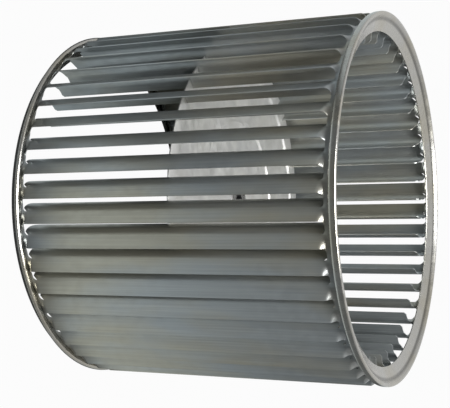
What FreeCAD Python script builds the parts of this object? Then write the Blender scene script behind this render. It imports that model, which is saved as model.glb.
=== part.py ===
import FreeCAD, Part
import math
import os

# Double inlet blower wheel with forward curved blades, all sizes in millimetres.
# Origin: centre of the lower end ring's outer plane. +Z runs along the shaft.
# The wheel stands on its lower end ring, and the blade tips point counterclockwise
# when seen from +Z.

# Overall size
RING_DIAMETER = 282.8          # over the rolled rims of the end rings
WHEEL_WIDTH = 254.0            # between the outer planes of the two end rings

# Blade strip: one sheet, lanced into blades and rolled into a drum
BLADE_COUNT = 48
STRIP_SHEET = 0.7
TIP_INSET = 0.2                # the blade tips lie this far inside the rings' rims
BLADE_DEPTH = 22.2             # radial, from the blade tips to the inner edges
LIP_LENGTH = 10.0              # straight outer part of a blade
LIP_ANGLE = math.radians(33.0)         # between the lip and the rim's tangent
BLADE_BEND_RADIUS = 11.35      # on the blade's convex back
BLADE_END_ANGLE = math.radians(102.0)  # heading of the straight inner part
BLADE_END_INSET = 12.1         # from the end plane to the ends of the blades
SHOULDER_LENGTH = 2.3          # formed step between a margin band and a blade lip

# End rings
RING_SHEET = 0.9
DISHED_FACE_WIDTH = 14.6       # of the upper ring, radial, from the rolled rim to the inlet
DISH_DEPTH = 6.0               # how far the upper ring's inlet lip lies below the end plane
FLAT_FACE_WIDTH = 13.1         # of the lower ring, radial, from the rolled rim to the inlet
GROOVE_DEPTH = 2.7             # pressed between the dished face and the crest
GROOVE_WIDTH = 0.9             # of its flat bottom
GROOVE_WALL = 2.6              # radial run of its outer wall
CREST_WIDTH = 1.1              # flat part that lies in the end plane
CREST_BEND_RADIUS = 1.4        # on the outside, between the crest and the rolled rim
RIM_WIDTH = 4.7                # radial, from the rolled rim to its free edge
UPPER_RIM_DEPTH = 6.1          # from the end plane to the underside of the rolled rim
LOWER_RIM_DEPTH = 8.3
CURL_RADIUS = 2.6              # on the outside, between the rolled rim and its free edge
BEND_STEPS = 3                 # flats that each quarter of these bends is drawn with
BAND_CLEARANCE = 0.1           # between a margin band and the rim's free edge round it

# Centre disc
DISC_SHEET = 1.0
DISC_RIM_INSET = 14.8          # radial, from the rings' outer edge to the disc's edge
DISC_RIM_OFFSET = 1.2          # the rim's upper face lies this far below mid-width
DISC_RIM_WIDTH = 13.6          # raised rim that the blades hold
DISC_RIM_STEP = 1.3
DISC_STEP_RUN = 2.0            # radial run of each pressed step
DISC_PANEL_RADIUS = 67.0       # pressed panel round the hub
DISC_PANEL_STEP = 1.3
NOTCH_CLEARANCE = 0.1          # round the disc's rim, in the blades' notches

# Hub and set screw
BORE_RADIUS = 6.35
HUB_RADIUS = 15.9
HUB_LENGTH = 31.8              # below the disc
SPIGOT_RADIUS = 11.0
CLINCH_RADIUS = 13.5
CLINCH_HEIGHT = 1.2
SPIGOT_CLEARANCE = 0.05
SCREW_RADIUS = 3.9
SCREW_CLEARANCE = 0.07
SCREW_TIP_GAP = 0.4            # between the screw's tip and the bore
SCREW_HEAD_ACROSS = 7.9
SCREW_HEAD_LENGTH = 6.4
SCREW_NECK = 2.0               # bare screw between the hub and the screw's head

# Places that follow from the sizes above
RING_RADIUS = RING_DIAMETER / 2
CREST_OUTER = RING_RADIUS - CREST_BEND_RADIUS
CREST_INNER = CREST_OUTER - CREST_WIDTH
GROOVE_OUTER = CREST_INNER - GROOVE_WALL
GROOVE_INNER = GROOVE_OUTER - GROOVE_WIDTH
FREE_EDGE_RADIUS = RING_RADIUS - RIM_WIDTH
BAND_RADIUS = FREE_EDGE_RADIUS - BAND_CLEARANCE
TIP_RADIUS = RING_RADIUS - TIP_INSET
BLADE_INNER_RADIUS = TIP_RADIUS - BLADE_DEPTH
BAND_START = GROOVE_DEPTH + RING_SHEET
BAND_EDGE = BLADE_END_INSET - SHOULDER_LENGTH
DISC_RADIUS = RING_RADIUS - DISC_RIM_INSET
DISC_RIM_TOP = WHEEL_WIDTH / 2 - DISC_RIM_OFFSET
DISC_FACE_TOP = DISC_RIM_TOP - DISC_RIM_STEP
DISC_PANEL_TOP = DISC_FACE_TOP - DISC_PANEL_STEP
DISC_PANEL_BOTTOM = DISC_PANEL_TOP - DISC_SHEET
HUB_BOTTOM = DISC_PANEL_BOTTOM - HUB_LENGTH
SCREW_HEIGHT = HUB_BOTTOM + HUB_LENGTH / 2

AXIS = FreeCAD.Vector(0, 0, 1)
ORIGIN = FreeCAD.Vector(0, 0, 0)
FULL_TURN = 360.0


def blade_point(back, inward, height=0.0):
    """A point of the first blade, whose tip lies at TIP_RADIUS on +X.

    back runs along the rim's tangent against the tips' direction, and inward
    runs towards the shaft.
    """
    return FreeCAD.Vector(TIP_RADIUS - inward, -back, height)


def heading(angle):
    """Unit step of a blade's section at an angle from the rim's tangent."""
    return math.cos(angle), math.sin(angle)


class BladeSide:
    """One face of the blade's sheet: straight lip, bend and straight inner part."""

    def __init__(self, depth_in_sheet):
        along = heading(LIP_ANGLE)
        across = (-along[1], along[0])
        self.tip = (across[0] * depth_in_sheet, across[1] * depth_in_sheet)
        self.lip_end = (self.tip[0] + along[0] * LIP_LENGTH,
                        self.tip[1] + along[1] * LIP_LENGTH)
        radius = BLADE_BEND_RADIUS - depth_in_sheet
        centre = (self.lip_end[0] + across[0] * radius,
                  self.lip_end[1] + across[1] * radius)
        self.bend_middle = self.on_bend(centre, radius, (LIP_ANGLE + BLADE_END_ANGLE) / 2)
        self.bend_end = self.on_bend(centre, radius, BLADE_END_ANGLE)
        self.inner_end = self.run_to_inner_radius(self.bend_end)

    @staticmethod
    def on_bend(centre, radius, angle):
        """The point of the bend where the section has this heading."""
        return (centre[0] + radius * math.sin(angle), centre[1] - radius * math.cos(angle))

    @staticmethod
    def run_to_inner_radius(start):
        """Where a straight run from start meets the blades' inner radius."""
        step = heading(BLADE_END_ANGLE)
        back, left = start[0], TIP_RADIUS - start[1]
        half_b = back * step[0] - left * step[1]
        c = back * back + left * left - BLADE_INNER_RADIUS ** 2
        length = -half_b - math.sqrt(half_b * half_b - c)
        return start[0] + step[0] * length, start[1] + step[1] * length


BACK_SIDE = BladeSide(0.0)
FRONT_SIDE = BladeSide(STRIP_SHEET)


def line(start, end):
    return Part.LineSegment(start, end).toShape()


def arc(start, middle, end):
    return Part.Arc(start, middle, end).toShape()


def prism(edges, height):
    """Solid with the closed outline of edges, extruded upwards."""
    return Part.Face(Part.Wire(Part.__sortEdges__(edges))).extrude(AXIS * height)


def section_point(radius, height):
    """A point in the section plane of a turned piece."""
    return FreeCAD.Vector(radius, 0, height)


def turned(outline):
    """Solid of revolution from (radius, height) corners."""
    corners = [section_point(*corner) for corner in outline]
    face = Part.Face(Part.makePolygon(corners + corners[:1]))
    return face.revolve(ORIGIN, AXIS, FULL_TURN)


def turned_sheet(side, thickness):
    """Sheet of revolution whose section lies to the left of one side's corners."""
    wire = Part.makePolygon([section_point(*corner) for corner in side])
    # Join type 2 lets the moved side meet in corners.
    section = wire.makeOffset2D(thickness, 2, True, True)
    return section.revolve(ORIGIN, AXIS, FULL_TURN)


def tube(outer, inner, bottom, top):
    """Straight round tube about the shaft's axis."""
    return turned([(inner, bottom), (outer, bottom), (outer, top), (inner, top)])


def blade():
    """One blade between the shoulders, notched for the disc's rim."""
    low = BLADE_END_INSET
    back = [blade_point(*point, low) for point in
            (BACK_SIDE.tip, BACK_SIDE.lip_end, BACK_SIDE.bend_middle,
             BACK_SIDE.bend_end, BACK_SIDE.inner_end)]
    front = [blade_point(*point, low) for point in
             (FRONT_SIDE.tip, FRONT_SIDE.lip_end, FRONT_SIDE.bend_middle,
              FRONT_SIDE.bend_end, FRONT_SIDE.inner_end)]
    edges = [line(back[0], back[1]), arc(*back[1:4]), line(back[3], back[4]),
             line(back[4], front[4]),
             line(front[4], front[3]), arc(*front[3:0:-1]), line(front[1], front[0]),
             line(front[0], back[0])]
    body = prism(edges, WHEEL_WIDTH - 2 * BLADE_END_INSET)
    notch = tube(DISC_RADIUS + NOTCH_CLEARANCE, BLADE_INNER_RADIUS - BLADE_DEPTH,
                 DISC_RIM_TOP - DISC_SHEET - NOTCH_CLEARANCE, DISC_RIM_TOP + NOTCH_CLEARANCE)
    return body.cut(notch)


def faceted(outlines):
    """Solid whose flat faces have these corners."""
    shell = Part.Shell([Part.Face(Part.makePolygon([*corners, corners[0]]))
                        for corners in outlines])
    shell.sewShape()
    return Part.Solid(shell)


def shoulder(band_height, lip_height):
    """The formed step that carries a blade's lip on a margin band.

    Its foot is straight, so its inner corners stand out by the sagitta and the
    whole foot lies on the band.
    """
    half_foot = math.asin(LIP_LENGTH / 2 / BAND_RADIUS)
    foot_inner = (BAND_RADIUS - STRIP_SHEET) / math.cos(half_foot)

    def on_band(point, radius):
        reach = blade_point(*point)
        return reach * (radius / reach.Length) + AXIS * band_height

    tip_foot = on_band(BACK_SIDE.tip, BAND_RADIUS)
    end_foot = on_band(BACK_SIDE.lip_end, BAND_RADIUS)
    end_foot_front = on_band(BACK_SIDE.lip_end, foot_inner)
    tip_foot_front = on_band(BACK_SIDE.tip, foot_inner)
    tip, end, end_front, tip_front = [
        blade_point(*point, lip_height) for point in
        (BACK_SIDE.tip, BACK_SIDE.lip_end, FRONT_SIDE.lip_end, FRONT_SIDE.tip)]
    return faceted([
        (tip_foot, end_foot, end_foot_front, tip_foot_front),
        (tip, end, end_front, tip_front),
        (tip_foot, end_foot, tip), (end_foot, end, tip),
        (tip_foot_front, end_foot_front, tip_front), (end_foot_front, end_front, tip_front),
        (end_foot, end_foot_front, end_front), (end_foot, end_front, end),
        (tip_foot, tip_foot_front, tip_front), (tip_foot, tip_front, tip)])


def blade_strip():
    """All blades with the two margin bands that the end rings clamp."""
    one = [blade(), shoulder(BAND_EDGE, BLADE_END_INSET),
           shoulder(WHEEL_WIDTH - BAND_EDGE, WHEEL_WIDTH - BLADE_END_INSET)]
    lower_band = tube(BAND_RADIUS, BAND_RADIUS - STRIP_SHEET, BAND_START, BAND_EDGE)
    upper_band = tube(BAND_RADIUS, BAND_RADIUS - STRIP_SHEET,
                      WHEEL_WIDTH - BAND_EDGE, WHEEL_WIDTH - BAND_START)
    pieces = [upper_band]
    for index in range(BLADE_COUNT):
        for piece in one:
            copy = piece.copy()
            copy.rotate(ORIGIN, AXIS, FULL_TURN * index / BLADE_COUNT)
            pieces.append(copy)
    return lower_band.fuse(pieces).removeSplitter()


def quarter_bend(middle, radius, first_heading):
    """Corners of a quarter of a bend, drawn with flats."""
    headings = [first_heading + math.pi / 2 * step / BEND_STEPS
                for step in range(BEND_STEPS + 1)]
    return [(middle[0] + radius * math.sin(angle), middle[1] - radius * math.cos(angle))
            for angle in headings]


def end_ring(face, rim_depth):
    """A ring of one sheet at the lower end of the wheel.

    face holds the corners from the inlet to the rim. There the sheet is rolled
    inwards, and its free edge ends at the margin band.
    """
    curl_middle = (RING_RADIUS - CURL_RADIUS, rim_depth - CURL_RADIUS)
    curl = quarter_bend(curl_middle, CURL_RADIUS, math.pi / 2)
    return turned_sheet([*face, *curl, (FREE_EDGE_RADIUS, rim_depth)], RING_SHEET)


def lower_end_ring():
    """The lower ring: a flat face in the end plane, and a bevel out to the rim."""
    face = [(RING_RADIUS - FLAT_FACE_WIDTH, 0), (FREE_EDGE_RADIUS, 0)]
    return end_ring(face, LOWER_RIM_DEPTH)


def upper_end_ring():
    """The upper ring: a dished face, a groove, and a crest in the end plane."""
    groove = [(GROOVE_INNER, GROOVE_DEPTH), (GROOVE_OUTER, GROOVE_DEPTH)]
    crest_bend = quarter_bend((CREST_OUTER, CREST_BEND_RADIUS), CREST_BEND_RADIUS, 0)
    ring = end_ring([(RING_RADIUS - DISHED_FACE_WIDTH, DISH_DEPTH), *groove,
                     (CREST_INNER, 0), *crest_bend], UPPER_RIM_DEPTH)
    ring.rotate(ORIGIN, FreeCAD.Vector(1, 0, 0), FULL_TURN / 2)
    ring.translate(AXIS * WHEEL_WIDTH)
    return ring


def centre_disc():
    """Disc with a raised rim in the blades' notches and a pressed panel."""
    rim_inner = DISC_RADIUS - DISC_RIM_WIDTH
    upper_side = [(DISC_RADIUS, DISC_RIM_TOP), (rim_inner, DISC_RIM_TOP),
                  (rim_inner - DISC_STEP_RUN, DISC_FACE_TOP),
                  (DISC_PANEL_RADIUS, DISC_FACE_TOP),
                  (DISC_PANEL_RADIUS - DISC_STEP_RUN, DISC_PANEL_TOP),
                  (SPIGOT_RADIUS + SPIGOT_CLEARANCE, DISC_PANEL_TOP)]
    return turned_sheet(upper_side, DISC_SHEET)


def screw_cylinder(radius, start, end):
    """Cylinder along +X at the set screw's height."""
    place = FreeCAD.Vector(start, 0, SCREW_HEIGHT)
    return Part.makeCylinder(radius, end - start, place, FreeCAD.Vector(1, 0, 0))


def hub():
    """Turned hub, clinched over the disc, with a tapped hole for the set screw."""
    clinch_top = DISC_PANEL_TOP + CLINCH_HEIGHT
    body = turned([
        (BORE_RADIUS, HUB_BOTTOM), (HUB_RADIUS, HUB_BOTTOM),
        (HUB_RADIUS, DISC_PANEL_BOTTOM), (SPIGOT_RADIUS, DISC_PANEL_BOTTOM),
        (SPIGOT_RADIUS, DISC_PANEL_TOP), (CLINCH_RADIUS, DISC_PANEL_TOP),
        (CLINCH_RADIUS, clinch_top), (BORE_RADIUS, clinch_top)])
    tapped_hole = screw_cylinder(SCREW_RADIUS + SCREW_CLEARANCE, BORE_RADIUS / 2,
                                 HUB_RADIUS + SCREW_NECK)
    return body.cut(tapped_hole)


def set_screw():
    """Square headed set screw, just clear of the bore."""
    head_start = HUB_RADIUS + SCREW_NECK
    half = SCREW_HEAD_ACROSS / 2
    shank = screw_cylinder(SCREW_RADIUS, BORE_RADIUS + SCREW_TIP_GAP, head_start)
    head = Part.makeBox(SCREW_HEAD_LENGTH, SCREW_HEAD_ACROSS, SCREW_HEAD_ACROSS,
                        FreeCAD.Vector(head_start, -half, SCREW_HEIGHT - half))
    return shank.fuse(head).removeSplitter()


NODES = {
    "blade_strip": blade_strip,
    "end_ring_lower": lower_end_ring,
    "end_ring_upper": upper_end_ring,
    "centre_disc": centre_disc,
    "hub": hub,
    "set_screw": set_screw,
}

os.makedirs("parts", exist_ok=True)
for name, make in NODES.items():
    shape = make()
    print(name, "solids", len(shape.Solids), "faces", len(shape.Faces),
          "volume", round(shape.Volume), "valid", shape.isValid())
    shape.exportStep("parts/" + name + ".step")
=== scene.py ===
"""A double inlet blower wheel of galvanised sheet, dressed round its CAD frame.

The wheel stands on its lower end ring. Heights run along the shaft, in metres.
"""
import logging
import math
import random
from dataclasses import dataclass, field
from enum import Enum

import bpy
from mathutils import Matrix, Vector

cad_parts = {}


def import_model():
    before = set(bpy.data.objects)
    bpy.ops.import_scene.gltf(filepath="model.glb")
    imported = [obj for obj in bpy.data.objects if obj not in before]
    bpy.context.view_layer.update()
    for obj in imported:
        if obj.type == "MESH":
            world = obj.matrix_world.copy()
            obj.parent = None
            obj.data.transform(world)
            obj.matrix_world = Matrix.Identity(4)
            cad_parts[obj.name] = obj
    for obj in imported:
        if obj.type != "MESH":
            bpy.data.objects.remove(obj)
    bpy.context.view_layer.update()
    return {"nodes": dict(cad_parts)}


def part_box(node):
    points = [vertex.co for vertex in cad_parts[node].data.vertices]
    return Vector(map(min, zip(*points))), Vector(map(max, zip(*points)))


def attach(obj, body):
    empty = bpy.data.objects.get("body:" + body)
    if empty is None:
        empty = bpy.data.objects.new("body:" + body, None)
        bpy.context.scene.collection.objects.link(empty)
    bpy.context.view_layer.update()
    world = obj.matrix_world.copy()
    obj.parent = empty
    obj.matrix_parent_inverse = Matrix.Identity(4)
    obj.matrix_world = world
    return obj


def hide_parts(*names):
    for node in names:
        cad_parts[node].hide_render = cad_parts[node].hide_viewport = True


LOG = logging.getLogger("blower_wheel")
MM = 0.001
BODY = "root"
WELD = 0.01 * MM
UPPER_RIM_DEPTH = 6.1 * MM
SHARP_ABOVE = math.radians(40.0)
HALF_STRAIGHT = math.radians(89.5)
FRAME_WIDTH_PX = 450
SENSOR_MM = 36.0

Point2 = tuple[float, float]
Point3 = tuple[float, float, float]
Corner = tuple[float, float, float]
Colour = tuple[float, float, float]
Face = tuple[int, ...]
Feed = float | tuple[float, ...] | bpy.types.NodeSocket
WHITE: Colour = (1.0, 1.0, 1.0)


class End(Enum):
    """The two ends of the wheel."""

    LOWER = "lower"
    UPPER = "upper"


class Grain(Enum):
    """Which way the sheet's rolling lines run, as scales of the object's X, Y and Z."""

    ALONG_SHAFT = (1.0, 1.0, 0.012)
    ACROSS_SHEET = (0.02, 1.0, 1.0)
    TURNED = (1.0, 1.0, 1.0)


@dataclass(frozen=True)
class Graph:
    """The node graph of a material or of the world."""

    nodes: bpy.types.Nodes
    links: bpy.types.NodeLinks

    @classmethod
    def of(cls, owner: bpy.types.Material | bpy.types.World) -> "Graph":
        """Turns the owner's nodes on and takes their graph."""
        owner.use_nodes = True
        return cls(owner.node_tree.nodes, owner.node_tree.links)

    def feed(self, socket: bpy.types.NodeSocket, source: Feed) -> None:
        """Links a socket to another node's, or sets its constant value.

        Args:
            socket: the input.
            source: what it takes.
        """
        if isinstance(source, bpy.types.NodeSocket):
            self.links.new(source, socket)
        else:
            socket.default_value = source

    def read(self, kind: str, output: str) -> bpy.types.NodeSocket:
        """Adds a node without inputs, such as coordinates, for one of its outputs."""
        return self.nodes.new(kind).outputs[output]

    def combine(self, operation: str, *sources: Feed) -> bpy.types.NodeSocket:
        """A sum, product or the like of values.

        Args:
            operation: the operation's name.
            sources: the values, in the operation's order.

        Returns:
            The result.
        """
        node = self.nodes.new("ShaderNodeMath")
        node.operation = operation
        for socket, source in zip(node.inputs, sources):
            self.feed(socket, source)
        return node.outputs["Value"]

    def measure(self, operation: str, *vectors: Feed) -> bpy.types.NodeSocket:
        """A length or dot product of vectors.

        Args:
            operation: the operation's name.
            vectors: the vectors.

        Returns:
            The value.
        """
        node = self.nodes.new("ShaderNodeVectorMath")
        node.operation = operation
        for socket, vector in zip(node.inputs, vectors):
            self.feed(socket, vector)
        return node.outputs["Value"]

    def spread(self, value: Feed, low: float, high: float, at_low: float = 0.0,
               at_high: float = 1.0, smooth: bool = False) -> bpy.types.NodeSocket:
        """Maps the stretch from low to high to another one and holds its ends.

        Args:
            value: the value to map.
            low: where the stretch begins.
            high: where it ends.
            at_low: the result at its beginning.
            at_high: the result at its end.
            smooth: whether both ends are eased.

        Returns:
            The mapped value.
        """
        node = self.nodes.new("ShaderNodeMapRange")
        node.interpolation_type = "SMOOTHSTEP" if smooth else "LINEAR"
        names = ("Value", "From Min", "From Max", "To Min", "To Max")
        for name, source in zip(names, (value, low, high, at_low, at_high)):
            self.feed(node.inputs[name], source)
        return node.outputs["Result"]

    def mixed(self, share: Feed, first: Feed, second: Feed,
              blend: str = "MIX") -> bpy.types.NodeSocket:
        """Mixes two colours.

        Args:
            share: share of the second colour.
            first: the first colour.
            second: the second colour.
            blend: how they mix.

        Returns:
            The mixed colour.
        """
        node = self.nodes.new("ShaderNodeMix")
        node.data_type = "RGBA"
        node.blend_type = blend
        for name, source in zip(("Factor", "A", "B"), (share, first, second)):
            self.feed(node.inputs[name], source)
        return node.outputs["Result"]

    def ramp(self, value: Feed, stops: tuple[tuple[float, Colour], ...],
             ) -> bpy.types.NodeSocket:
        """Looks a value up in a row of colours.

        Args:
            value: the value.
            stops: places from 0 to 1 and their colours.

        Returns:
            The colour.
        """
        node = self.nodes.new("ShaderNodeValToRGB")
        elements = node.color_ramp.elements
        while len(elements) < len(stops):
            elements.new(1.0)
        for element, (position, colour) in zip(elements, stops):
            element.position = position
            element.color = (*colour, 1.0)
        self.feed(node.inputs["Fac"], value)
        return node.outputs["Color"]

    def scaled(self, place: Feed, stretch: Point3) -> bpy.types.NodeSocket:
        """Scales coordinates along each axis."""
        node = self.nodes.new("ShaderNodeMapping")
        self.feed(node.inputs["Scale"], stretch)
        self.feed(node.inputs["Vector"], place)
        return node.outputs["Vector"]

    def noise(self, place: Feed, stretch: Point3, per_metre: float,
              detail: float) -> bpy.types.NodeSocket:
        """Noise over coordinates.

        Args:
            place: the coordinates.
            stretch: scale of each axis.
            per_metre: how close the noise lies.
            detail: how many finer layers it has.

        Returns:
            The noise's value.
        """
        node = self.nodes.new("ShaderNodeTexNoise")
        self.feed(node.inputs["Scale"], per_metre)
        self.feed(node.inputs["Detail"], detail)
        self.feed(node.inputs["Vector"], self.scaled(place, stretch))
        return node.outputs["Fac"]


@dataclass(frozen=True)
class SheetFinish:
    """Bare rolled or turned steel.

    Attributes:
        name: the material's name.
        colour: mean colour of the bare metal.
        stain: colour of the duller, warmer patches.
        roughness: mean roughness.
        metallic: how far the metal is free of dull zinc bloom.
        grain: which way the rolling lines run.
        line_depth: strength of the rolling lines in the bump.
        lines_per_metre: how close the rolling lines lie.
        painted_shade_radius: radius of a groove darkened with painted shade, or 0 for none.
        line_height: height of the rolling lines.
        line_shade: colour of the darkest lines over the bare metal's.
        patches_per_metre: how close the patches lie.
        patch_stretch: scale of the patches along each axis.
        mottle_per_metre: how close the rougher and smoother spots lie.
        smoother: how far the smoothest spots lie below the mean roughness.
        rougher: how far the roughest spots lie above it.
        painted_shade_left: what is left of the colour in the painted shade.
        painted_shade_reach: distances from the groove where the painted shade begins to thin and
            ends.
    """

    name: str
    colour: Colour
    stain: Colour
    roughness: float
    metallic: float
    grain: Grain
    line_depth: float = 0.12
    lines_per_metre: float = 900.0
    painted_shade_radius: float = 0.0
    line_height: float = 0.05 * MM
    line_shade: Colour = (0.84, 0.84, 0.85)
    patches_per_metre: float = 22.0
    patch_stretch: Point3 = (1.0, 1.0, 0.35)
    mottle_per_metre: float = 160.0
    smoother: float = 0.05
    rougher: float = 0.06
    painted_shade_left: float = 0.45
    painted_shade_reach: Point2 = (0.3 * MM, 2.2 * MM)

    def build(self) -> bpy.types.Material:
        """Makes the node material.

        Returns:
            The new material.
        """
        material = bpy.data.materials.new(self.name)
        graph = Graph.of(material)
        place = graph.read("ShaderNodeTexCoord", "Object")
        lines = graph.noise(place, self.grain.value, self.lines_per_metre, detail=3.0)
        inputs = graph.nodes["Principled BSDF"].inputs
        graph.feed(inputs["Metallic"], self.metallic)
        graph.feed(inputs["Base Color"], self._coloured(graph, place, lines))
        graph.feed(inputs["Roughness"], self._roughened(graph, place))
        graph.feed(inputs["Normal"], self._lined(graph, lines))
        return material

    def _coloured(self, graph: Graph, place: bpy.types.NodeSocket,
                  lines: bpy.types.NodeSocket) -> bpy.types.NodeSocket:
        """The metal's colour with its patches, lines and painted shade in a groove.

        Args:
            graph: the material's graph.
            place: the object's own coordinates.
            lines: the noise of the rolling lines.

        Returns:
            The colour.
        """
        patches = graph.noise(place, self.patch_stretch, self.patches_per_metre, detail=4.0)
        tone = graph.mixed(graph.spread(patches, low=0.42, high=0.62),
                           (*self.colour, 1.0), (*self.stain, 1.0))
        shades = graph.ramp(lines, ((0.3, self.line_shade), (0.7, WHITE)))
        colour = graph.mixed(1.0, tone, shades, "MULTIPLY")
        if not self.painted_shade_radius:
            return colour
        # Painted shade: the colour darkens in a ring round the groove's radius.
        reach = graph.measure("LENGTH", graph.scaled(place, (1.0, 1.0, 0.0)))
        away = graph.combine("ABSOLUTE", graph.combine("SUBTRACT", reach, self.painted_shade_radius))
        painted_shade = graph.spread(away, *self.painted_shade_reach, self.painted_shade_left, 1.0, smooth=True)
        return graph.mixed(1.0, colour, painted_shade, "MULTIPLY")

    def _roughened(self, graph: Graph, place: bpy.types.NodeSocket) -> bpy.types.NodeSocket:
        """The roughness, which varies in small spots."""
        mottle = graph.noise(place, (1.0, 1.0, 1.0), self.mottle_per_metre, detail=2.0)
        return graph.spread(mottle, low=0.35, high=0.65,
                            at_low=self.roughness - self.smoother,
                            at_high=self.roughness + self.rougher)

    def _lined(self, graph: Graph, lines: bpy.types.NodeSocket) -> bpy.types.NodeSocket:
        """The surface's direction over the rolling lines."""
        bump = graph.nodes.new("ShaderNodeBump")
        graph.feed(bump.inputs["Strength"], self.line_depth)
        graph.feed(bump.inputs["Distance"], self.line_height)
        graph.feed(bump.inputs["Height"], lines)
        return bump.outputs["Normal"]


@dataclass
class Sheet:
    """A sheet that is drawn as pairs of points, one on each of its sides.

    Attributes:
        pairs: the points on the outer and the inner side.
        faces: the indices of each face's pairs.
        places: each pair's index by the place of its outer point.
    """

    pairs: list[tuple[Vector, Vector]] = field(default_factory=list)
    faces: list[Face] = field(default_factory=list)
    places: dict[tuple[int, int, int], int] = field(default_factory=dict)

    def corner(self, outer: Vector, inner: Vector) -> int:
        """Finds or adds a pair.

        Args:
            outer: the point on the outer side.
            inner: the point on the inner side.

        Returns:
            The pair's index.
        """
        place = tuple(round(value / WELD) for value in outer)
        if place not in self.places:
            self.places[place] = len(self.pairs)
            self.pairs.append((outer, inner))
        return self.places[place]

    def patch(self, columns: list[list[int]]) -> None:
        """Adds the faces between columns of pairs.

        Args:
            columns: the pairs' indices, columns clockwise round the wheel, rows upwards.
        """
        for left, right in zip(columns, columns[1:]):
            self.faces += zip(left, left[1:], right[1:], right)

    def mesh(self) -> tuple[list[Vector], list[Face]]:
        """Closes the sheet along its edges.

        Returns:
            The vertices and faces of both sides and of the edges between them.
        """
        count = len(self.pairs)
        vertices = [pair[0] for pair in self.pairs] + [pair[1] for pair in self.pairs]
        faces = self.faces + [tuple(count + index for index in face[::-1])
                              for face in self.faces]
        edges = {(start, end) for face in self.faces
                 for start, end in zip(face, face[1:] + face[:1])}
        faces += [(end, start, count + start, count + end)
                  for start, end in sorted(edges) if (end, start) not in edges]
        return vertices, faces


def add_piece(name: str, vertices: list[Vector], faces: list[Face],
              finish: bpy.types.Material, node: str, slot: str) -> None:
    """Adds a smooth mesh with sharp edges that stands for a CAD node.

    Args:
        name: the piece's name.
        vertices: its vertices, in the frame of the wheel.
        faces: its faces.
        finish: its material.
        node: the CAD node that it replaces.
        slot: not used.
    """
    mesh = bpy.data.meshes.new(name)
    mesh.from_pydata(vertices, [], faces)
    mesh.validate()
    mesh.update()
    mesh.polygons.foreach_set("use_smooth", [True] * len(mesh.polygons))
    mesh.set_sharp_from_angle(angle=SHARP_ABOVE)
    mesh.materials.append(finish)
    piece = bpy.data.objects.new(name, mesh)
    bpy.context.scene.collection.objects.link(piece)
    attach(piece, BODY)
    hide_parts(node)
    LOG.info("%s stands for %s with %d faces", name, node, len(faces))


def rounded(corners: list[Corner], steps: int = 5,
            side_share: float = 0.48) -> list[Point2]:
    """Rounds the corners of a closed outline.

    Args:
        corners: x, y and radius of each corner.
        steps: how many stretches each rounding has.
        side_share: how much of a side one rounding takes at most.

    Returns:
        The outline's points.
    """
    outline: list[Point2] = []
    count = len(corners)
    for index, (x, y, radius) in enumerate(corners):
        here = Vector((x, y))
        before = Vector(corners[index - 1][:2]) - here
        after = Vector(corners[(index + 1) % count][:2]) - here
        half = before.angle(after) / 2
        if radius <= 0 or half > HALF_STRAIGHT:
            outline.append((x, y))
            continue
        reach = min(radius / math.tan(half),
                    side_share * before.length, side_share * after.length)
        radius = reach * math.tan(half)
        start = before.normalized() * reach
        end = after.normalized() * reach
        centre = (start + end).normalized() * (radius / math.sin(half))
        first, last = start - centre, end - centre
        turn = first.angle_signed(last)
        for step in range(steps + 1):
            spoke = first.copy()
            spoke.rotate(Matrix.Rotation(-turn * step / steps, 2))
            outline.append(tuple(here + centre + spoke))
    return outline


def lathe(outline: list[Point2], segments: int) -> tuple[list[Vector], list[Face]]:
    """Turns a closed outline about the shaft.

    Args:
        outline: radius and height of each point, counterclockwise.
        segments: how many steps a full turn has.

    Returns:
        The vertices and faces.
    """
    count = len(outline)
    vertices = []
    for segment in range(segments):
        angle = math.tau * segment / segments
        cos, sin = math.cos(angle), math.sin(angle)
        vertices += [Vector((radius * cos, radius * sin, height)) for radius, height in outline]
    faces = []
    for segment in range(segments):
        this, following = segment * count, (segment + 1) % segments * count
        for index in range(count):
            ahead = (index + 1) % count
            faces.append((this + index, following + index, following + ahead, this + ahead))
    return vertices, faces


def moved_left(run: list[Point2], depth: float) -> list[Point2]:
    """Moves an open run of corners to its left.

    Args:
        run: the corners.
        depth: how far they move.

    Returns:
        The moved corners, which meet in corners again.
    """
    points = [Vector(corner) for corner in run]
    ways = [(after - before).normalized() for before, after in zip(points, points[1:])]
    moved = []
    for index, point in enumerate(points):
        before, after = ways[max(index - 1, 0)], ways[min(index, len(ways) - 1)]
        left = Vector((-before.y - after.y, before.x + after.x)).normalized()
        spread = left.dot(Vector((-before.y, before.x)))
        moved.append(tuple(point + left * (depth / spread)))
    return moved


def heading(angle: float) -> Vector:
    """Unit step of a blade's section at an angle from the rim's tangent."""
    return Vector((math.cos(angle), math.sin(angle)))


def ease(share: float) -> float:
    """Smooth step from 0 to 1."""
    share = min(1.0, max(0.0, share))
    return share * share * (3 - 2 * share)


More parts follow.
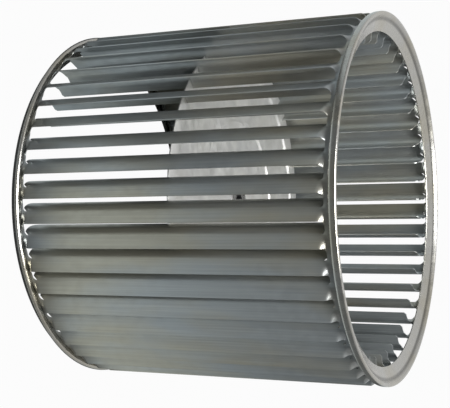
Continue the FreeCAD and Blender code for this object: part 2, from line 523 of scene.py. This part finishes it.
@dataclass
class BladeStrip:
    """The lanced and rolled strip: all blades and both margin bands.

    The section of a blade is given as steps back along the rim's tangent and
    inwards, from its tip. A blade's lip grows out of the margin band over the
    formed shoulder, and the slot behind it ends in two rounded corners. The flap is
    what follows the lip: the bend and the straight inner part. Heights are
    measured from the nearer end of the wheel.

    Attributes:
        width: the wheel's width along the shaft.
        tip_radius: radius of the blades' tips.
        blades: how many blades there are.
        sheet: the sheet's thickness.
        lip: length of a blade's straight lip.
        lip_angle: the lip's angle to the rim's tangent.
        bend_radius: radius of the bend behind the lip.
        end_angle: angle of the straight inner part.
        depth: how far a blade reaches in from its tip.
        end_inset: height of a blade's inner corner.
        band_radius: outer radius of the margin bands.
        band_start: height of a band's free edge.
        shoulder_start: height where the shoulders leave the band.
        shoulder_end: height where a shoulder reaches the lip at its tip.
        shoulder_close: height where it reaches the lip at the bend.
        slot_end: height of a slot's end.
        slot_corner: radius of the slot's corners.
        lift_width: how far round the wheel a shoulder lifts the slot's end.
        flap_corner: radius of the flap's inner corners.
        flap_bulge: how far the flap swells towards its band.
        bulge_top: where it swells most, as a share of the way from lip to inner edge.
        bulge_end: where the swelling ends, as such a share.
        stray: how far a blade's inner edge strays round the wheel at most.
        notch_radius: radius of the bottom of the disc's notch.
        notch_low: height of the notch's lower side above the lower end.
        notch_high: height of its upper side above the lower end.
        inner_shares: places of the straight inner part's points.
        lip_steps: stretches across the lip.
        bend_steps: stretches round the bend.
        slot_steps: stretches along a slot's end.
        corner_steps: rows up to the end of a slot's corner.
        half_steps: rows from a shoulder to the disc.
        seed: seed of the straying.
        sections: the blade's back as pairs of steps back and inwards.
        headings: the sheet's angle at each of them.
    """

    width: float
    tip_radius: float
    blades: int = 48
    sheet: float = 0.7 * MM
    lip: float = 10.0 * MM
    lip_angle: float = math.radians(33.0)
    bend_radius: float = 11.35 * MM
    end_angle: float = math.radians(102.0)
    depth: float = 22.2 * MM
    end_inset: float = 12.1 * MM
    band_radius: float = 136.6 * MM
    band_start: float = 3.6 * MM
    shoulder_start: float = 7.6 * MM
    shoulder_end: float = 14.5 * MM
    shoulder_close: float = 12.4 * MM
    slot_end: float = 9.7 * MM
    slot_corner: float = 3.0 * MM
    lift_width: float = 4.5 * MM
    flap_corner: float = 1.6 * MM
    flap_bulge: float = 3.6 * MM
    bulge_top: float = 0.17
    bulge_end: float = 0.9
    stray: float = 0.25 * MM
    notch_radius: float = 126.7 * MM
    notch_low: float = 124.7 * MM
    notch_high: float = 125.9 * MM
    inner_shares: tuple[float, ...] = (0.35, 0.7, 1.0)
    lip_steps: int = 5
    bend_steps: int = 8
    slot_steps: int = 12
    corner_steps: int = 6
    half_steps: int = 5
    seed: int = 11
    sections: list[Point2] = field(init=False)
    headings: list[float] = field(init=False)

    def __post_init__(self) -> None:
        """Sets the points of the blade's back and the sheet's heading at each.

        One of the points lies at the bottom of the disc's notch.
        """
        lip_way = heading(self.lip_angle)
        centre = lip_way * self.lip + Vector((-lip_way.y, lip_way.x)) * self.bend_radius
        points = [lip_way * (self.lip * step / self.lip_steps)
                  for step in range(self.lip_steps + 1)]
        self.headings = [self.lip_angle] * len(points)
        turn = self.end_angle - self.lip_angle
        bend = [self.lip_angle + turn * step / self.bend_steps
                for step in range(1, self.bend_steps + 1)]
        bend.append(self._angle_at_radius(centre, self.notch_radius))
        for angle in sorted(bend):
            points.append(centre + Vector((math.sin(angle), -math.cos(angle))) * self.bend_radius)
            self.headings.append(angle)
        inner = self.tip_radius - self.depth
        way = heading(self.end_angle)
        start = points[-1]
        left = self.tip_radius - start.y
        half_b = start.x * way.x - left * way.y
        length = -half_b - math.sqrt(half_b ** 2 - start.x ** 2 - left ** 2 + inner ** 2)
        for share in self.inner_shares:
            points.append(start + way * (length * share))
            self.headings.append(self.end_angle)
        self.sections = [tuple(point) for point in points]

    def _angle_at_radius(self, centre: Vector, radius: float, halvings: int = 40) -> float:
        """The bend's heading where it crosses a radius of the wheel.

        Args:
            centre: the bend's centre.
            radius: distance from the shaft.
            halvings: how often the search halves its range.

        Returns:
            The heading in radians.
        """
        low, high = self.lip_angle, self.end_angle
        for _ in range(halvings):
            middle = (low + high) / 2
            point = centre + Vector((math.sin(middle), -math.cos(middle))) * self.bend_radius
            if math.hypot(point.x, self.tip_radius - point.y) > radius:
                low = middle
            else:
                high = middle
        return (low + high) / 2

    def _place(self, column: int, depth: float, height: float) -> Vector:
        """A point of the first blade.

        Args:
            column: which point of the section.
            depth: how deep it lies in the sheet, from the blade's back.
            height: its height.

        Returns:
            The point.
        """
        back, inward = self.sections[column]
        angle = self.headings[column]
        back -= math.sin(angle) * depth
        inward += math.cos(angle) * depth
        return Vector((self.tip_radius - inward, -back, height))

    def _on_shoulder(self, column: int, depth: float, height: float) -> Vector:
        """A point of the lip or of the shoulder that carries it on the band.

        Args:
            column: which point of the section.
            depth: how deep it lies in the sheet.
            height: its height, nearer to the lower end than to the upper one.

        Returns:
            The point.
        """
        lip = self._place(column, depth, height)
        band = self._place(column, 0.0, 0.0)
        band *= (self.band_radius - depth) / band.length
        band.z = height
        return band.lerp(lip, self._formed(column, height))

    def _formed(self, column: int, height: float) -> float:
        """How far the shoulder has risen to the lip, which takes longest at the tip.

        Args:
            column: which point of the section.
            height: its height.

        Returns:
            The share, from 0 to 1.
        """
        towards_bend = column / self.lip_steps
        end = self.shoulder_end + (self.shoulder_close - self.shoulder_end) * towards_bend
        return ease((height - self.shoulder_start) / (end - self.shoulder_start))

    def _rounding(self, distance: float, radius: float) -> float:
        """How far a rounded corner draws back at a distance from its side."""
        if distance >= radius:
            return 0.0
        return radius - math.sqrt(radius ** 2 - (radius - distance) ** 2)

    def _edge_rows(self) -> list[float]:
        """Heights of the band's rows, up to where the slot's corner ends."""
        rows = [self.band_start, (self.band_start + self.shoulder_start) / 2]
        reach = self._flap_root() - self.shoulder_start
        return rows + [self.shoulder_start + reach * step / self.corner_steps
                       for step in range(self.corner_steps + 1)]

    def _flap_root(self) -> float:
        """The height where the slot's corner ends and the flap begins on the lip."""
        return self.slot_end + self.slot_corner

    def build(self, finish: bpy.types.Material) -> None:
        """Builds the whole strip as one sheet with its thickness.

        Args:
            finish: the sheet's material.
        """
        sheet = Sheet()
        wander = random.Random(self.seed)
        for blade in range(self.blades):
            turn = Matrix.Rotation(math.tau * blade / self.blades, 3, "Z")
            lean = wander.uniform(-self.stray, self.stray)
            self._lip(sheet, turn)
            self._flap(sheet, turn, lean)
            for upper in (False, True):
                self._slot_end(sheet, turn, upper)
        add_piece("blade_strip_sheet", *sheet.mesh(), finish, "blade_strip", "blade_sheet")

    def _turned_over(self, point: Vector, upper: bool) -> Vector:
        """The point itself, or its mirror image at the upper end."""
        return Vector((point.x, point.y, self.width - point.z)) if upper else point

    def _blade_rows(self) -> list[tuple[float, bool]]:
        """Rows of a blade's lip from band to band.

        Returns:
            Each row's height from its own end, and whether that is the upper end.
        """
        formed = self._edge_rows()
        formed += [(formed[-1] + self.shoulder_end) / 2, self.shoulder_end]
        halves = []
        for upper, notch in ((False, self.notch_low), (True, self.width - self.notch_high)):
            reach = notch - self.shoulder_end
            plain = [self.shoulder_end + reach * step / self.half_steps
                     for step in range(1, self.half_steps + 1)]
            halves.append([(height, upper) for height in formed + plain])
        return halves[0] + halves[1][::-1]

    def _lip(self, sheet: Sheet, turn: Matrix) -> None:
        """Adds a blade's lip, with its shoulders and what they stand on.

        Args:
            sheet: the sheet to add to.
            turn: the blade's place round the wheel.
        """
        columns = []
        for column in range(self.lip_steps + 1):
            columns.append([sheet.corner(*[
                turn @ self._turned_over(self._on_shoulder(column, depth, height), upper)
                for depth in (0.0, self.sheet)]) for height, upper in self._blade_rows()])
        sheet.patch(columns)

    def _flap(self, sheet: Sheet, turn: Matrix, lean: float) -> None:
        """Adds a blade's bend and inner part, with its notch and rounded corners.

        Args:
            sheet: the sheet to add to.
            turn: the blade's place round the wheel.
            lean: how far the inner edge strays round the wheel.
        """
        first = len(self._edge_rows()) - 1
        rows = self._blade_rows()[first:-first]
        last = len(self.sections) - 1
        root = self._flap_root()
        columns = []
        for column in range(self.lip_steps, last + 1):
            share = (column - self.lip_steps) / (last - self.lip_steps)
            draw = self._rounding(math.dist(self.sections[column], self.sections[last]),
                                  self.flap_corner) + (self.end_inset - root) * share
            draw -= self.flap_bulge * ease(min(
                share / self.bulge_top,
                (self.bulge_end - share) / (self.bulge_end - self.bulge_top)))
            corners = []
            for height, upper in rows:
                pull = max(0.0, (self.shoulder_end - height) / (self.shoulder_end - root))
                pair = []
                for depth in (0.0, self.sheet):
                    point = self._place(column, depth, height + draw * pull)
                    point += (self._on_shoulder(self.lip_steps, depth, height)
                              - self._place(self.lip_steps, depth, height)) * (1 - share) ** 3
                    point.y -= lean * share ** 2
                    pair.append(turn @ self._turned_over(point, upper))
                corners.append(sheet.corner(*pair))
            columns.append(corners)
        notch_row = len(rows) // 2
        notched = self._first_notched() - self.lip_steps
        sheet.patch(columns[:notched + 1])
        sheet.patch([corners[:notch_row] for corners in columns[notched:]])
        sheet.patch([corners[notch_row:] for corners in columns[notched:]])

    def _first_notched(self) -> int:
        """The section's point at the bottom of the disc's notch."""
        gaps = [abs(self._place(column, 0.0, 0.0).length - self.notch_radius)
                for column in range(len(self.sections))]
        return gaps.index(min(gaps))

    def _slot_end(self, sheet: Sheet, turn: Matrix, upper: bool) -> None:
        """Adds the band from a lip to the next blade's tip, up to the slot's end.

        Args:
            sheet: the sheet to add to.
            turn: the blade's place round the wheel.
            upper: whether it is at the upper end of the wheel.
        """
        rows = self._edge_rows()
        last = self._place(self.lip_steps, 0.0, 0.0)
        start = math.atan2(last.y, last.x)
        pitch = math.tau / self.blades
        slot_width = (pitch + start) * self.band_radius
        next_blade = Matrix.Rotation(-pitch, 3, "Z")
        columns = []
        for step in range(self.slot_steps + 1):
            across = step / self.slot_steps
            before, after = across * slot_width, (1 - across) * slot_width
            edge = self.slot_end + self._rounding(min(before, after), self.slot_corner)
            shrink = (edge - self.shoulder_start) / (rows[-1] - self.shoulder_start)
            angle = start - (pitch + start) * across
            corners = []
            for height in rows:
                low = min(height, self.shoulder_start)
                real = low + (height - low) * shrink
                pair = []
                for depth in (0.0, self.sheet):
                    flat = Vector((math.cos(angle), math.sin(angle), 0.0))
                    flat *= self.band_radius - depth
                    flat.z = real
                    tip = next_blade @ (self._on_shoulder(0, depth, real)
                                        - self._on_shoulder(0, depth, 0.0))
                    lip = (self._on_shoulder(self.lip_steps, depth, real)
                           - self._on_shoulder(self.lip_steps, depth, 0.0))
                    tip.z = lip.z = 0.0
                    flat += tip * ease(1 - after / self.lift_width)
                    flat += lip * ease(1 - before / self.lift_width)
                    pair.append(turn @ self._turned_over(flat, upper))
                corners.append(sheet.corner(*pair))
            columns.append(corners)
        if upper:
            columns = [corners[::-1] for corners in columns]
        sheet.patch(columns)


@dataclass
class EndRing:
    """A pressed end ring with a rolled rim.

    The upper ring has a dished face, a groove and a crest in the end plane. The
    lower one has a flat face there, and a bevel out to the rim. Heights are
    measured from the nearer end of the wheel.

    Attributes:
        end: the wheel's end that the ring closes.
        width: the wheel's width along the shaft.
        radius: the ring's outer radius.
        rim_depth: height of the rolled rim's free edge.
        sheet: the sheet's thickness.
        dished_width: how far the upper ring reaches in.
        dish_depth: height of its inlet edge.
        flat_width: how far the lower ring reaches in.
        groove_depth: height of the groove's bottom.
        groove_width: width of the groove's bottom.
        groove_wall: width of the slope from there to the crest.
        crest_width: width of the crest.
        crest_bend: radius of the bend outside the crest.
        rim_width: how far the rim's free edge lies inside the outer radius.
        curl_radius: radius of the rim's roll.
        soft_bend: radius of the other bends.
        curl_steps: stretches round the roll.
        segments: stretches round the wheel.
    """

    end: End
    width: float
    radius: float
    rim_depth: float
    sheet: float = 0.9 * MM
    dished_width: float = 14.6 * MM
    dish_depth: float = 6.0 * MM
    flat_width: float = 13.1 * MM
    groove_depth: float = 2.7 * MM
    groove_width: float = 0.9 * MM
    groove_wall: float = 2.6 * MM
    crest_width: float = 1.1 * MM
    crest_bend: float = 1.4 * MM
    rim_width: float = 4.7 * MM
    curl_radius: float = 2.6 * MM
    soft_bend: float = 0.7 * MM
    curl_steps: int = 10
    segments: int = 240

    def _face(self) -> list[Corner]:
        """Corners from the inlet to the rim.

        Returns:
            Radius, height and bend radius of each corner.
        """
        if self.end is End.LOWER:
            return [(self.radius - self.flat_width, 0.0, 0.0),
                    (self.radius - self.rim_width, 0.0, self.soft_bend)]
        crest_inner = self.radius - self.crest_bend - self.crest_width
        groove_outer = crest_inner - self.groove_wall
        return [(self.radius - self.dished_width, self.dish_depth, 0.0),
                (groove_outer - self.groove_width, self.groove_depth, self.soft_bend),
                (groove_outer, self.groove_depth, self.soft_bend),
                (crest_inner, 0.0, self.soft_bend), (self.radius, 0.0, self.crest_bend)]

    def _curl(self) -> list[Corner]:
        """Corners of the rolled rim, round to its free edge."""
        middle = Vector((self.radius - self.curl_radius, self.rim_depth - self.curl_radius))
        points = []
        for step in range(self.curl_steps + 1):
            angle = math.pi / 2 * (1 + step / self.curl_steps)
            point = middle + Vector((math.sin(angle), -math.cos(angle))) * self.curl_radius
            points.append((*point, 0.0))
        return points + [(self.radius - self.rim_width, self.rim_depth, 0.0)]

    def outline(self) -> list[Point2]:
        """The ring's section, with its bends rounded, tighter on the inner side.

        Returns:
            Radius and height of each point, counterclockwise.
        """
        outer = self._face() + self._curl()
        moved = moved_left([corner[:2] for corner in outer], self.sheet)
        inner = [(*point, corner[2] / 2) for point, corner in zip(moved, outer)]
        return rounded(outer + inner[::-1])

    def build(self, finish: bpy.types.Material) -> None:
        """Builds the ring at its end of the wheel.

        Args:
            finish: the sheet's material.
        """
        vertices, faces = lathe(self.outline(), self.segments)
        if self.end is End.UPPER:
            for vertex in vertices:
                vertex.z = self.width - vertex.z
            faces = [face[::-1] for face in faces]
        node = f"end_ring_{self.end.value}"
        add_piece(f"{node}_sheet", vertices, faces, finish, node, "ring_sheet")


@dataclass
class CentreDisc:
    """The pressed disc at mid-width: rim, flat face and panel round the hub.

    Attributes:
        radius: the disc's radius.
        rim_top: height of the rim's upper side.
        sheet: the sheet's thickness.
        rim_width: width of the raised rim.
        rim_step: how far the face lies below the rim.
        step_run: width of each step's slope.
        panel_radius: radius of the lower panel.
        panel_step: how far the panel lies below the face.
        hole_radius: radius of the hub's hole.
        soft_bend: radius of the pressed bends.
        edge_break: radius of the cut edges' corners.
        segments: stretches round the disc.
    """

    radius: float
    rim_top: float
    sheet: float = 1.0 * MM
    rim_width: float = 13.6 * MM
    rim_step: float = 1.3 * MM
    step_run: float = 2.0 * MM
    panel_radius: float = 67.0 * MM
    panel_step: float = 1.3 * MM
    hole_radius: float = 11.05 * MM
    soft_bend: float = 1.2 * MM
    edge_break: float = 0.1 * MM
    segments: int = 200

    def outline(self) -> list[Point2]:
        """The disc's section, with its bends rounded.

        Returns:
            Radius and height of each point, counterclockwise.
        """
        face_top = self.rim_top - self.rim_step
        panel_top = face_top - self.panel_step
        rim_inner = self.radius - self.rim_width
        top = [(self.hole_radius, panel_top, self.edge_break),
               (self.panel_radius - self.step_run, panel_top, self.soft_bend),
               (self.panel_radius, face_top, self.soft_bend),
               (rim_inner - self.step_run, face_top, self.soft_bend),
               (rim_inner, self.rim_top, self.soft_bend),
               (self.radius, self.rim_top, self.edge_break)]
        bottom = [(x, z - self.sheet, bend) for x, z, bend in reversed(top)]
        return rounded((top + bottom)[::-1])

    def build(self, finish: bpy.types.Material) -> None:
        """Builds the disc.

        Args:
            finish: the sheet's material.
        """
        add_piece("centre_disc_sheet", *lathe(self.outline(), self.segments), finish,
                  "centre_disc", "disc_sheet")


@dataclass(frozen=True)
class SoftBox:
    """A square studio lamp that faces the wheel.

    Attributes:
        name: the lamp's name.
        place: where it hangs.
        size: its side in metres.
        power: its power in watts.
    """

    name: str
    place: Point3
    size: float
    power: float

    def hang(self, aim: Vector) -> None:
        """Hangs the lamp and turns it to a point.

        Args:
            aim: the point that it faces.
        """
        lamp = bpy.data.lights.new(self.name, "AREA")
        lamp.size = self.size
        lamp.energy = self.power
        holder = bpy.data.objects.new(self.name, lamp)
        holder.location = self.place
        way = aim - holder.location
        holder.rotation_euler = way.to_track_quat("-Z", "Y").to_euler()
        bpy.context.scene.collection.objects.link(holder)


@dataclass
class Studio:
    """A white floor, a world that is brighter behind the wheel, and one soft box.

    Attributes:
        aim: where the lamp points.
        box: the lamp.
        world_stretch: the world's front and back, as Y of a direction.
        front_level: the world's brightness on the near side.
        back_level: its brightness behind the wheel.
        overhead_start: Z of the direction where the overhead light begins.
        overhead_level: what straight overhead adds to the brightness.
        floor_size: the floor's side.
        floor_drop: how far the floor lies below the wheel.
        floor_colour: the floor's grey in the lamp's light.
        floor_roughness: the floor's roughness.
        floor_shown: share of plain white that the camera sees in the floor.
        floor_mirrored: share of plain white that the metal mirrors from the floor,
            as pairs of a distance from the shaft and the share there: painted reflections, with a
            painted shadow of low shares round the wheel's foot.
        mirrored_tint: colour of the mirrored floor.
        back_way: direction along the floor from the wheel to its back left.
        front_fade: distances that way over which the front's share fades.
        front_left: what is left of it behind the wheel.
        back_rise: distances that way over which the back's share rises.
        back_mirrored: the share that the floor's far back adds.
    """

    aim: Vector
    box: SoftBox = SoftBox("box_overhead", (0.05, -0.5, 1.3), 0.75, 40.0)
    world_stretch: Point2 = (-0.6, 0.8)
    front_level: float = 0.22
    back_level: float = 0.85
    overhead_start: float = 0.1
    overhead_level: float = 0.15
    floor_size: float = 8.0
    floor_drop: float = 0.1 * MM
    floor_colour: float = 0.04
    floor_roughness: float = 0.9
    floor_shown: float = 0.97
    floor_mirrored: tuple[Point2, ...] = ((0.122, 0.8), (0.130, 0.04), (0.158, 0.08),
                                          (0.185, 1.1), (0.60, 0.18))
    mirrored_tint: Colour = (0.90, 0.98, 1.0)
    back_way: Point3 = (-1.0, 1.0, 0.0)
    front_fade: Point2 = (0.0, 0.15)
    front_left: float = 0.05
    back_rise: Point2 = (0.2, 0.65)
    back_mirrored: float = 0.8

    def build(self) -> None:
        """Makes the floor, the world and the lamp."""
        self._floor()
        self._world()
        self.box.hang(self.aim)

    def _floor(self) -> None:
        """A white floor that still takes the wheel's shadow."""
        half, low = self.floor_size / 2, -self.floor_drop
        corners = [(-half, -half, low), (half, -half, low), (half, half, low),
                   (-half, half, low)]
        mesh = bpy.data.meshes.new("floor")
        mesh.from_pydata(corners, [], [(0, 1, 2, 3)])
        mesh.materials.append(self._floor_white())
        floor = bpy.data.objects.new("floor", mesh)
        bpy.context.scene.collection.objects.link(floor)

    def _floor_white(self) -> bpy.types.Material:
        """The floor's material, white to the camera and, to the metal, painted light and shade in
        rings.

        Returns:
            The new material.
        """
        material = bpy.data.materials.new("floor_white")
        graph = Graph.of(material)
        shader = graph.nodes["Principled BSDF"]
        graph.feed(shader.inputs["Base Color"], (*[self.floor_colour] * 3, 1.0))
        graph.feed(shader.inputs["Roughness"], self.floor_roughness)
        graph.feed(shader.inputs["Specular IOR Level"], 0.0)
        glossy = graph.read("ShaderNodeLightPath", "Is Glossy Ray")
        seen = graph.read("ShaderNodeLightPath", "Is Camera Ray")
        mirrored = graph.combine("MULTIPLY", glossy, self._mirrored_share(graph))
        share = graph.combine("MULTIPLY_ADD", seen, self.floor_shown, mirrored)
        shown = graph.nodes.new("ShaderNodeEmission")
        graph.feed(shown.inputs["Strength"], 1.0)
        graph.feed(shown.inputs["Color"],
                   graph.mixed(glossy, (*WHITE, 1.0), (*self.mirrored_tint, 1.0)))
        both = graph.nodes.new("ShaderNodeMixShader")
        sources = (share, shader.outputs["BSDF"], shown.outputs["Emission"])
        for socket, source in zip(both.inputs, sources):
            graph.feed(socket, source)
        graph.feed(graph.nodes["Material Output"].inputs["Surface"], both.outputs["Shader"])
        return material

    def _mirrored_share(self, graph: Graph) -> bpy.types.NodeSocket:
        """The share of plain white that the metal mirrors from each place of the floor.

        Args:
            graph: the floor material's graph.

        Returns:
            The share.
        """
        place = graph.read("ShaderNodeTexCoord", "Object")
        # Painted reflections: the low shares round the wheel's foot are a painted shadow, and the
        # high shares inside and beyond it are painted light.
        stops = tuple((distance, (share, share, share))
                      for distance, share in self.floor_mirrored)
        rings = graph.ramp(graph.measure("LENGTH", place), stops)
        across = graph.measure("DOT_PRODUCT", place, self.back_way)
        front = graph.spread(across, *self.front_fade, 1.0, self.front_left)
        back = graph.spread(across, *self.back_rise, 0.0, self.back_mirrored)
        return graph.combine("MULTIPLY_ADD", rings, front, back)

    def _world(self) -> None:
        """A neutral world, brighter towards the back, that shows white itself."""
        world = bpy.data.worlds.new("studio_world")
        graph = Graph.of(world)
        split = graph.nodes.new("ShaderNodeSeparateXYZ")
        graph.feed(split.inputs["Vector"], graph.read("ShaderNodeTexCoord", "Generated"))
        level = graph.spread(split.outputs["Y"], *self.world_stretch,
                             self.front_level, self.back_level)
        overhead = graph.spread(split.outputs["Z"], self.overhead_start, 1.0,
                                0.0, self.overhead_level, smooth=True)
        seen = graph.read("ShaderNodeLightPath", "Is Camera Ray")
        shown = graph.combine("MAXIMUM", graph.combine("ADD", level, overhead), seen)
        inputs = graph.nodes["Background"].inputs
        graph.feed(inputs["Color"], (*WHITE, 1.0))
        graph.feed(inputs["Strength"], shown)
        bpy.context.scene.world = world


@dataclass(frozen=True)
class PhotoCamera:
    """The camera, rolled so that the shaft lies level in the picture.

    Attributes:
        place: where it stands.
        azimuth: its turn about the upright axis, in degrees.
        elevation: how far it looks down, in degrees.
        roll: its turn about its own line of sight, in degrees.
        focal_px: its focal length in pixels of the picture.
    """

    place: Point3 = (0.02668, -0.77328, 0.46649)
    azimuth: float = 1.840
    elevation: float = 24.63
    roll: float = 89.078
    focal_px: float = 1041.14

    def build(self) -> None:
        """Makes the camera and takes it into use."""
        data = bpy.data.cameras.new("camera")
        data.sensor_width = SENSOR_MM
        data.lens = self.focal_px * SENSOR_MM / FRAME_WIDTH_PX
        data.clip_start = 10 * MM
        data.dof.use_dof = False
        camera = bpy.data.objects.new("camera", data)
        turn = (Matrix.Rotation(math.radians(self.azimuth), 4, "Z")
                @ Matrix.Rotation(math.radians(90 - self.elevation), 4, "X")
                @ Matrix.Rotation(math.radians(self.roll), 4, "Z"))
        camera.matrix_world = Matrix.Translation(self.place) @ turn
        bpy.context.scene.collection.objects.link(camera)
        bpy.context.scene.camera = camera


BLADE_FINISH = SheetFinish("blade_galvanised", (0.325, 0.35, 0.355), (0.35, 0.34, 0.285),
                           0.34, 0.76, Grain.ALONG_SHAFT)
# The ring's darker groove is painted shade in its colour.
RING_FINISH = SheetFinish("ring_galvanised", (0.42, 0.415, 0.39), (0.40, 0.38, 0.32),
                          0.26, 0.99, Grain.ACROSS_SHEET, painted_shade_radius=136.0 * MM)
# The disc's colour, far lighter than that of the blades and ring, is partly the sheet's own and
# partly painted light on the disc's face.
DISC_FINISH = SheetFinish("disc_galvanised_painted_light", (0.82, 0.82, 0.80), (0.76, 0.76, 0.725),
                          0.34, 0.88, Grain.TURNED, line_depth=0.0, lines_per_metre=60.0)
HUB_FINISH = SheetFinish("hub_zinc", (0.50, 0.50, 0.50), (0.42, 0.42, 0.42),
                         0.30, 1.0, Grain.TURNED)
SCREW_FINISH = SheetFinish("screw_dark", (0.20, 0.20, 0.21), (0.14, 0.14, 0.15),
                           0.38, 1.0, Grain.TURNED)


def dress_node(frame: dict, node: str, finish: bpy.types.Material) -> None:
    """Gives a CAD node that stays visible its material.

    Args:
        frame: the loaded frame.
        node: the node's name.
        finish: its material.
    """
    piece = frame["nodes"][node]
    piece.data.materials.clear()
    piece.data.materials.append(finish)
    LOG.info("%s keeps its CAD shape", node)


def main() -> None:
    """Builds the wheel, its studio and its camera."""
    logging.basicConfig(level=logging.INFO, format="%(message)s")
    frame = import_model()
    bpy.context.scene.view_settings.view_transform = "Standard"
    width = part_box("end_ring_upper")[1][2]
    tip_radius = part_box("blade_strip")[1][0]
    rim_radius, _, lower_rim_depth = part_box("end_ring_lower")[1]
    disc_radius, _, disc_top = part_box("centre_disc")[1]
    rim_depths = {End.LOWER: lower_rim_depth, End.UPPER: UPPER_RIM_DEPTH}

    BladeStrip(width, tip_radius).build(BLADE_FINISH.build())
    ring_finish = RING_FINISH.build()
    for end in End:
        EndRing(end, width, rim_radius, rim_depths[end]).build(ring_finish)
    CentreDisc(disc_radius, disc_top).build(DISC_FINISH.build())
    dress_node(frame, "hub", HUB_FINISH.build())
    dress_node(frame, "set_screw", SCREW_FINISH.build())

    Studio(Vector((0.0, 0.0, width / 2))).build()
    PhotoCamera().build()


if __name__ == "__main__":
    main()
